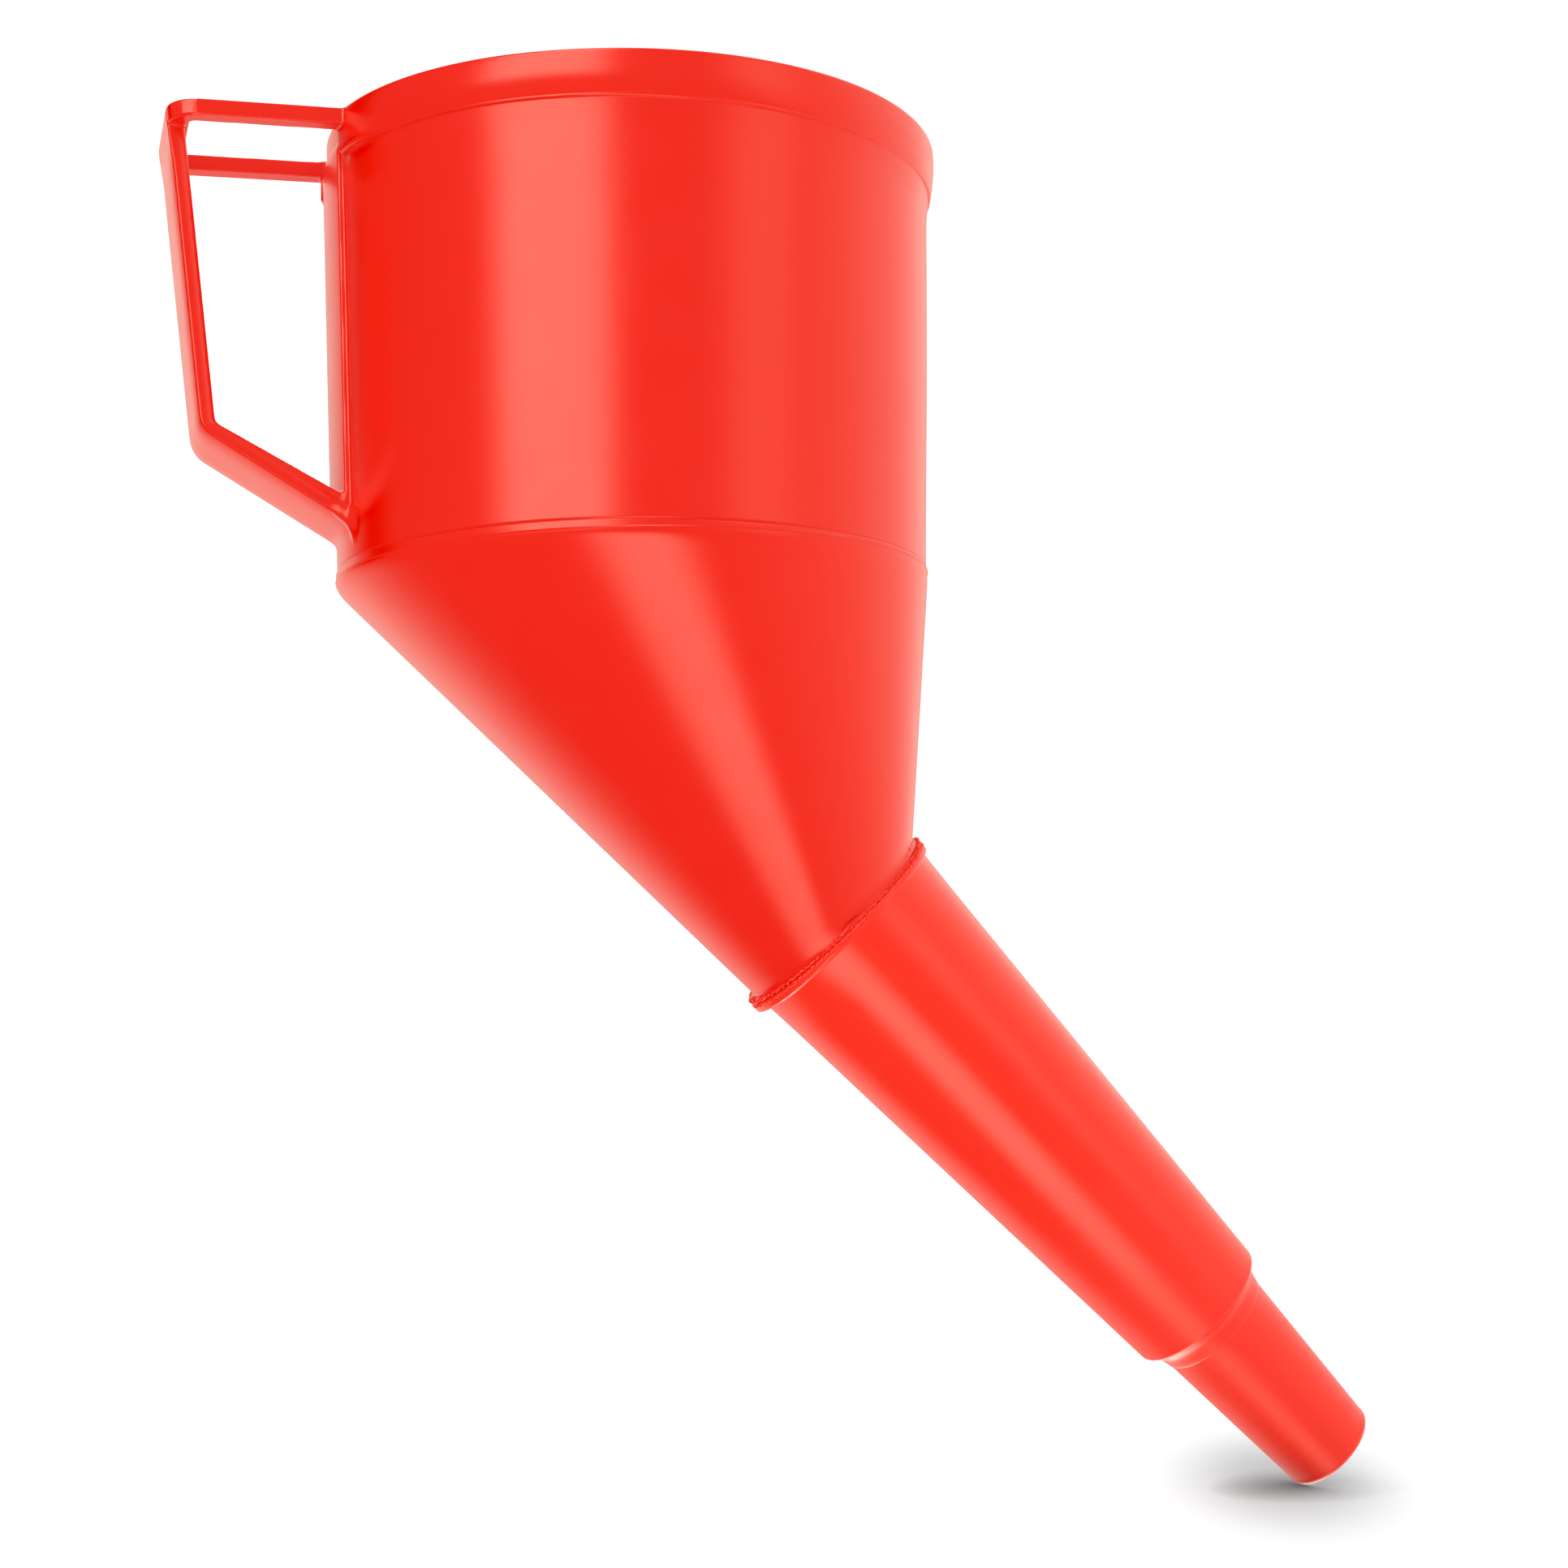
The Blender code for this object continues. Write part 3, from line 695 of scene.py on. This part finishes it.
def build_handle():
    step = 0.5
    low = (-109.0, -27.0, -4.0)
    high = (-58.0, 27.0, 103.0)
    points, quads = surface_net(handle_field, low, high, step)
    points = settle(points, handle_field, 5, step / 3)
    piece = add_piece("funnel_handle", points, outward(points, quads), RED, "funnel", 0.0)
    normals = field_slope(points, handle_field, 0.12)
    normals /= np.linalg.norm(normals, axis=1, keepdims=True)
    piece.data.normals_split_custom_set_from_vertices(normals.tolist())


# ---------------------------------------------------------------- spout


def build_turned(name, profile, segments, material, body, smooth_angle=40.0, bend=None):
    """A closed profile of (radius, height) turned about the spout's axis.

    If given, bend alters the radius and height of each ring round the turn.
    """
    turns = np.linspace(0.0, math.tau, segments, endpoint=False)
    rows = []
    for radius, height in profile:
        if bend:
            radius, height = bend(radius, height, turns)
        rows.append(neck_points(radius, height, turns))
    points = np.concatenate(rows)
    faces = outward(points, quads_between(len(rows), segments))
    return add_piece(name, points, faces, material, body, smooth_angle)


def between(start, end, count):
    """Points evenly spaced between two others, without the ends."""
    start, end = np.array(start), np.array(end)
    return [tuple(start + (end - start) * t) for t in np.linspace(0, 1, count + 2)[1:-1]]


def build_spout():
    bead = [(25.2, -0.1), (25.9, -0.16), (26.3, -0.35), (26.6, -0.75), (26.74, -1.3), (26.78, -1.8)]
    bead += arc_points((26.38, -2.15), 0.4, 0, -80, 5)
    bead += [(26.1, -2.6), (25.75, -2.72), (25.5, -3.0), (25.4, -3.5)]
    step_top = (18.05, -129.4)
    step_foot = (14.46, -137.45)
    tip_edge = (11.95, -179.2)
    outer = bead + between((25.28, -5.0), step_top, 12) + [step_top]
    outer += arc_points((16.9, -130.3), 1.12, 3, -62, 8)
    outer += [(16.6, -132.0), (16.0, -132.75), (15.6, -133.4), (15.32, -134.1), (15.1, -135.0)]
    outer += [(14.85, -136.2), (14.68, -137.05), (14.6, -137.2), (14.5, -137.28), step_foot]
    outer += between(step_foot, tip_edge, 6) + [tip_edge]
    outer += arc_points((10.05, -180.05), 1.92, 14, -78, 9)
    inner = arc_points((10.4, -181.4), 0.5, 250, 180, 3)
    inner += [(9.95, -180.0), (12.1, -139.0), (12.6, -136.0), (13.4, -133.2), (15.4, -130.4), (15.8, -128.6)]
    inner += between((15.8, -128.6), (23.1, -5.0), 8)
    inner += [(23.1, -5.0), (23.2, -0.5), (23.4, -0.2)]

    plain_below = -4.5
    bead_foot = 25.4

    def bend(radius, height, turns):
        if height < plain_below:
            return radius, height
        proud = max(radius - bead_foot, 0.0) * weld_swell(turns)
        return min(radius, bead_foot) + proud, weld_height(turns, height)

    return build_turned("spout_tube", outer + inner, 256, SPOUT_RED, "funnel", 50.0, bend)


def ragged(counts, turns, scale):
    """A rough closed line of small random lumps around a circle, with these numbers of waves."""
    line = np.zeros(turns.shape)
    for waves in counts:
        line += rng.normal() * np.sin(waves * turns + rng.uniform(0, math.tau)) / math.sqrt(len(counts))
    return scale * line


def build_weld_flash():
    """The uneven lips of plastic squeezed out on both sides of the weld between neck and spout."""
    segments = 1400
    turns = np.linspace(0.0, math.tau, segments, endpoint=False)
    upper = [(25.6, 1.1), (26.2, 1.2), (26.6, 1.05), (26.8, 0.75), (26.75, 0.4), (26.5, 0.1), (25.6, -0.06)]
    lower = [(25.6, 0.02), (26.5, -0.02), (26.75, -0.3), (26.88, -0.65), (26.8, -1.0), (26.55, -1.2)]
    lower += [(25.6, -1.3)]
    lips = (("weld_flash", upper, 0.2, 0.24, RED), ("weld_flash_lower", lower, 0.14, 0.16, SPOUT_RED))
    free = (0.0, 0.5, 1.0, 1.0, 0.9, 0.4, 0.0)  # how far each point of a section follows the lumps
    foot = 25.7
    coarse = range(38, 130, 5)
    fine = range(130, 280, 9)
    for name, section, rise_scale, reach_scale, material in lips:
        rise = ragged(coarse, turns, rise_scale) + ragged(fine, turns, rise_scale / 3)
        reach = ragged(coarse, turns, reach_scale) + ragged(fine, turns, reach_scale / 2)
        rows = []
        for (radius, height), f in zip(section, free):
            proud = max(radius - foot, 0.0) * weld_swell(turns)
            lumpy_radius = min(radius, foot) + proud + f * reach
            rows.append(neck_points(lumpy_radius, weld_height(turns, height + f * rise), turns))
        points = np.concatenate(rows)
        faces = outward(points, quads_between(len(rows), segments))
        add_piece(name, points, faces, material, "funnel", 60.0)


# ---------------------------------------------------------------- strainer

MESH_RADIUS = 20.9
MESH_HEIGHT = 2.35  # of the cloth's edge, upstream of the joint


def build_ring():
    """The rubber ring: a shallow groove outside, a bead on top, and an inner groove that holds the cloth."""
    outer = [(22.9, 0.3), (23.25, 0.55), (23.4, 0.95), (23.4, 2.2), (23.2, 2.5), (23.2, 3.0), (23.4, 3.3)]
    outer += [(23.4, 6.2)]
    top = arc_points((21.9, 6.65), 1.5, 0, 90, 10)
    top += [(21.3, 8.02), (21.05, 7.75), (20.85, 7.6), (20.6, 7.7), (20.4, 7.75)]
    top += arc_points((20.3, 6.75), 1.0, 90, 180, 6)
    inner = [(19.35, 5.6), (19.45, 4.4), (19.5, 3.2), (19.6, 2.85), (21.0, 2.75), (21.0, 1.95), (19.6, 1.85)]
    inner += [(19.5, 1.2), (19.6, 0.5), (19.9, 0.25)]
    profile = inner[::-1] + top[::-1] + outer[::-1]
    return build_turned("rubber_ring", profile, 192, RUBBER, "strainer", 60.0)


def build_wires():
    """Plain-woven wire cloth, slightly domed: each wire goes over one neighbour and under the next."""
    pitch = 0.86
    wire = 0.13  # radius
    sides = 6
    samples = 4  # points along a wire in each pitch
    crimp = 0.125
    dome = 0.7
    slant = math.radians(38.0)
    count = int(MESH_RADIUS / pitch)
    ring_turns = np.linspace(0.0, math.tau, sides, endpoint=False)
    points, faces = [], []
    total = 0
    for way in (0, 1):
        for n in range(-count, count + 1):
            offset = n * pitch
            half = math.sqrt(MESH_RADIUS**2 - offset**2) + rng.uniform(-0.12, 0.05)
            steps = max(int(2 * half / (pitch / samples)), 4)
            along = np.linspace(-half, half, steps)
            wave = np.cos(math.pi * along / pitch) * (1 if (n + way) % 2 else -1)
            sag = dome * (1.0 - (along**2 + offset**2) / MESH_RADIUS**2)
            lift = MESH_HEIGHT + sag + crimp * wave + rng.normal() * 0.008
            drift = offset + 0.02 * np.sin(along * 0.7 + n)
            u, v = (along, drift) if way == 0 else (drift, along)
            turned_u = u * math.cos(slant) - v * math.sin(slant)
            turned_v = u * math.sin(slant) + v * math.cos(slant)
            centre = NECK + lift[:, None] * UPSTREAM
            centre = centre + turned_u[:, None] * SIDEWAYS + turned_v[:, None] * ACROSS
            direction = np.gradient(centre, axis=0)
            direction /= np.linalg.norm(direction, axis=1, keepdims=True)
            side = np.cross(direction, UPSTREAM)
            side /= np.linalg.norm(side, axis=1, keepdims=True)
            up = np.cross(side, direction)
            cosine = np.cos(ring_turns)[None, :, None]
            sine = np.sin(ring_turns)[None, :, None]
            tube = centre[:, None] + wire * (cosine * side[:, None] + sine * up[:, None])
            quads = quads_between(steps, sides, close_rows=False, start=total)
            caps = [list(range(total, total + sides))]
            caps.append(list(range(total + (steps - 1) * sides, total + steps * sides))[::-1])
            points.append(tube.reshape(-1, 3))
            faces += quads.tolist() + caps
            total += steps * sides
    return add_piece("wire_cloth", np.concatenate(points), faces, WIRE, "strainer", 0.0)


shell = build_shell()
build_handle()
spout = build_spout()
build_weld_flash()
ring = build_ring()
wires = build_wires()
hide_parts("funnel_body")
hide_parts("spout")
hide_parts("strainer_ring")
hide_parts("strainer_mesh")

# ---------------------------------------------------------------- camera

# The photograph's view. Lengths are in pixels of a 1932 by 1932 image, apart from the distance.
IMAGE = 1932.0
FOCAL = 3015.3
CENTRE_X = 1235.5  # where the view's axis meets the image
CENTRE_Y = 789.2
HEADING = math.radians(22.225)
RISE = math.radians(9.071)
ROLL = math.radians(-2.14)
SEAM_OFFSET_X = -450.6  # from the view's axis to the middle of the seam circle
SEAM_OFFSET_Y = 76.0
DISTANCE = 571.2  # millimetres from the middle of the seam circle, along the view
SENSOR = 36.0

forward = np.array([math.sin(HEADING) * math.cos(RISE), math.cos(HEADING) * math.cos(RISE), math.sin(RISE)])
level_right = np.array([math.cos(HEADING), -math.sin(HEADING), 0.0])
level_up = np.cross(level_right, forward)
right = math.cos(ROLL) * level_right + math.sin(ROLL) * level_up
up = -math.sin(ROLL) * level_right + math.cos(ROLL) * level_up
eye = -DISTANCE * (forward + SEAM_OFFSET_X / FOCAL * right + SEAM_OFFSET_Y / FOCAL * up)

camera_data = bpy.data.cameras.new("camera")
camera_data.sensor_width = SENSOR
camera_data.lens = SENSOR * FOCAL / IMAGE
camera_data.shift_x = (IMAGE / 2 - CENTRE_X) / IMAGE
camera_data.shift_y = (CENTRE_Y - IMAGE / 2) / IMAGE
camera_data.clip_start = 0.01
camera_data.clip_end = 100.0
camera = bpy.data.objects.new("camera", camera_data)
turn = Matrix((right.tolist(), up.tolist(), (-forward).tolist())).transposed()
camera.matrix_world = Matrix.Translation(Vector(((eye + ORIGIN) * MM).tolist())) @ turn.to_4x4()
bpy.context.scene.collection.objects.link(camera)
bpy.context.scene.camera = camera

# ---------------------------------------------------------------- floor and light

TIP_TO_FOOT = 0.011
TIP = np.array(mounts["spout_tip"]["pos_m"], float)
FOOT = (TIP - SIDEWAYS * TIP_TO_FOOT)[:2]  # under the lowest point of the tip, where the floor's painted shadow is centred


def build_floor():
    """A near-white sheet that mostly glows, with a painted shadow: its glow is darkened near the funnel and
    deepened in a soft spot round where the tip stands.
    """
    size = 6.0
    mesh = bpy.data.meshes.new("floor")
    corners = [(-size, -size, 0.0), (size, -size, 0.0), (size, size, 0.0), (-size, size, 0.0)]
    mesh.from_pydata(corners, [], [(0, 1, 2, 3)])
    mesh.update()
    floor = bpy.data.objects.new("floor", mesh)
    bpy.context.scene.collection.objects.link(floor)
    floor.location.z = -0.0002
    material, nodes, links, shader = new_material("floor_paper")
    grain = nodes.new("ShaderNodeTexNoise")
    grain.inputs["Scale"].default_value = 400.0
    tone = value_between(nodes, links, grain.outputs["Fac"], 0.93, 0.95)
    links.new(tone, shader.inputs["Base Color"])
    shader.inputs["Roughness"].default_value = 0.9
    shader.inputs["Specular IOR Level"].default_value = 0.0
    # Painted shade: ambient occlusion within 16 mm darkens the floor's glow near the funnel.
    painted_contact_shade = nodes.new("ShaderNodeAmbientOcclusion")
    painted_contact_shade.inputs["Distance"].default_value = 0.016
    # Painted shadow: a soft oval spot round the tip's foot, longer along the view than across it.
    place = nodes.new("ShaderNodeTexCoord")
    spot = nodes.new("ShaderNodeMapping")
    spot.vector_type = "TEXTURE"
    spot.inputs["Location"].default_value = (*FOOT, 0.0)
    spot.inputs["Rotation"].default_value = (0.0, 0.0, -HEADING)
    spot.inputs["Scale"].default_value = (0.04, 0.105, 1.0)
    links.new(place.outputs["Object"], spot.inputs["Vector"])
    reach = nodes.new("ShaderNodeVectorMath")
    reach.operation = "LENGTH"
    links.new(spot.outputs[0], reach.inputs[0])
    soft = nodes.new("ShaderNodeMapRange")
    soft.interpolation_type = "SMOOTHERSTEP"
    soft.inputs["To Min"].default_value = 0.55
    soft.inputs["To Max"].default_value = 1.05
    links.new(reach.outputs["Value"], soft.inputs["Value"])
    # Painted shadow: the occlusion and the spot together dim the floor's glow.
    painted_shadow = math_node(nodes, links, "MULTIPLY", painted_contact_shade.outputs["AO"], soft.outputs["Result"])
    glow = nodes.new("ShaderNodeEmission")
    glow.inputs["Color"].default_value = (1.0, 1.0, 1.0, 1.0)
    links.new(painted_shadow, glow.inputs["Strength"])
    # The floor is mostly this glow with its painted shadow, and a little plain diffuse paper.
    mix = nodes.new("ShaderNodeMixShader")
    mix.inputs["Fac"].default_value = 0.93
    links.new(shader.outputs[0], mix.inputs[1])
    links.new(glow.outputs[0], mix.inputs[2])
    links.new(mix.outputs[0], nodes["Material Output"].inputs["Surface"])
    mesh.materials.append(material)
    floor.visible_glossy = False


def build_world():
    """White all round for the camera and for diffuse light.

    Reflections see a dark room with soft boxes and a pale backdrop, placed by the angle round the funnel
    from the camera's side, in degrees and negative to the picture's left, and by the height of the
    direction, from -1 to 1.
    """
    world = bpy.data.worlds.new("studio")
    bpy.context.scene.world = world
    world.use_nodes = True
    nodes = world.node_tree.nodes
    links = world.node_tree.links
    nodes.clear()
    place = nodes.new("ShaderNodeTexCoord")

    def along(direction):
        dot = nodes.new("ShaderNodeVectorMath")
        dot.operation = "DOT_PRODUCT"
        links.new(place.outputs["Generated"], dot.inputs[0])
        dot.inputs[1].default_value = direction
        return dot.outputs["Value"]

    def combine(operation, a, b):
        return math_node(nodes, links, operation, a, b)

    def rise(value, start, end, strength=1.0):
        step = nodes.new("ShaderNodeMapRange")
        step.interpolation_type = "SMOOTHSTEP"
        step.inputs["From Min"].default_value = start
        step.inputs["From Max"].default_value = end
        step.inputs["To Max"].default_value = strength
        links.new(value, step.inputs["Value"])
        return step.outputs["Result"]

    def window(value, low, high, edge, strength=1.0):
        past_low = rise(value, low - edge, low + edge)
        before_high = rise(value, high + edge, high - edge)
        return combine("MULTIPLY", combine("MULTIPLY", past_low, before_high), strength)

    heading = math.atan2(-forward[1], -forward[0])
    front = along((math.cos(heading), math.sin(heading), 0.0))
    side = along((-math.sin(heading), math.cos(heading), 0.0))
    height = along((0.0, 0.0, 1.0))
    angle = combine("MULTIPLY", combine("ARCTAN2", side, front), math.degrees(1.0))

    # Boxes: the bright one that makes the main streak, one below it and a faint one to its right
    main_box = combine("MULTIPLY", window(angle, -42.0, -1.0, 7.0), rise(height, -0.15, 0.1, 6.0))
    low_box = combine("MULTIPLY", window(side, -0.13, 0.33, 0.1), window(height, -0.93, -0.5, 0.12, 4.6))
    second_box = combine("MULTIPLY", window(angle, 44.0, 68.0, 9.0), window(height, -0.02, 0.6, 0.12, 1.3))

    # Backdrop: pale to both sides, darker right behind the funnel and in one band to the left
    band = combine("MULTIPLY", rise(height, -0.3, -0.08), window(angle, -127.0, -100.0, 6.0, 0.3))
    left_side = combine("SUBTRACT", rise(angle, -106.0, -140.0), band)
    left_drop = combine("SUBTRACT", combine("MULTIPLY", left_side, 1.05), rise(angle, -142.0, -174.0, 0.5))
    right_drop = combine("SUBTRACT", rise(angle, 25.0, 125.0, 1.3), rise(angle, 155.0, 176.0, 0.6))
    glow = 0.0
    for light in (main_box, low_box, second_box, left_drop, right_drop):
        glow = combine("ADD", light, glow)
    rays = nodes.new("ShaderNodeLightPath")
    reflected = nodes.new("ShaderNodeBackground")
    reflected.inputs["Color"].default_value = (1.0, 0.96, 0.84, 1.0)
    links.new(glow, reflected.inputs["Strength"])
    plain = nodes.new("ShaderNodeBackground")
    plain.inputs["Color"].default_value = (1.0, 1.0, 1.0, 1.0)
    plain.inputs["Strength"].default_value = 1.14
    pick = nodes.new("ShaderNodeMixShader")
    links.new(rays.outputs["Is Glossy Ray"], pick.inputs["Fac"])
    links.new(plain.outputs[0], pick.inputs[1])
    links.new(reflected.outputs[0], pick.inputs[2])
    out = nodes.new("ShaderNodeOutputWorld")
    links.new(pick.outputs[0], out.inputs["Surface"])
    world.cycles.sampling_method = "NONE"  # sampled light would show glossy surfaces the white world too


build_floor()
build_world()
bpy.context.scene.view_settings.view_transform = "Standard"
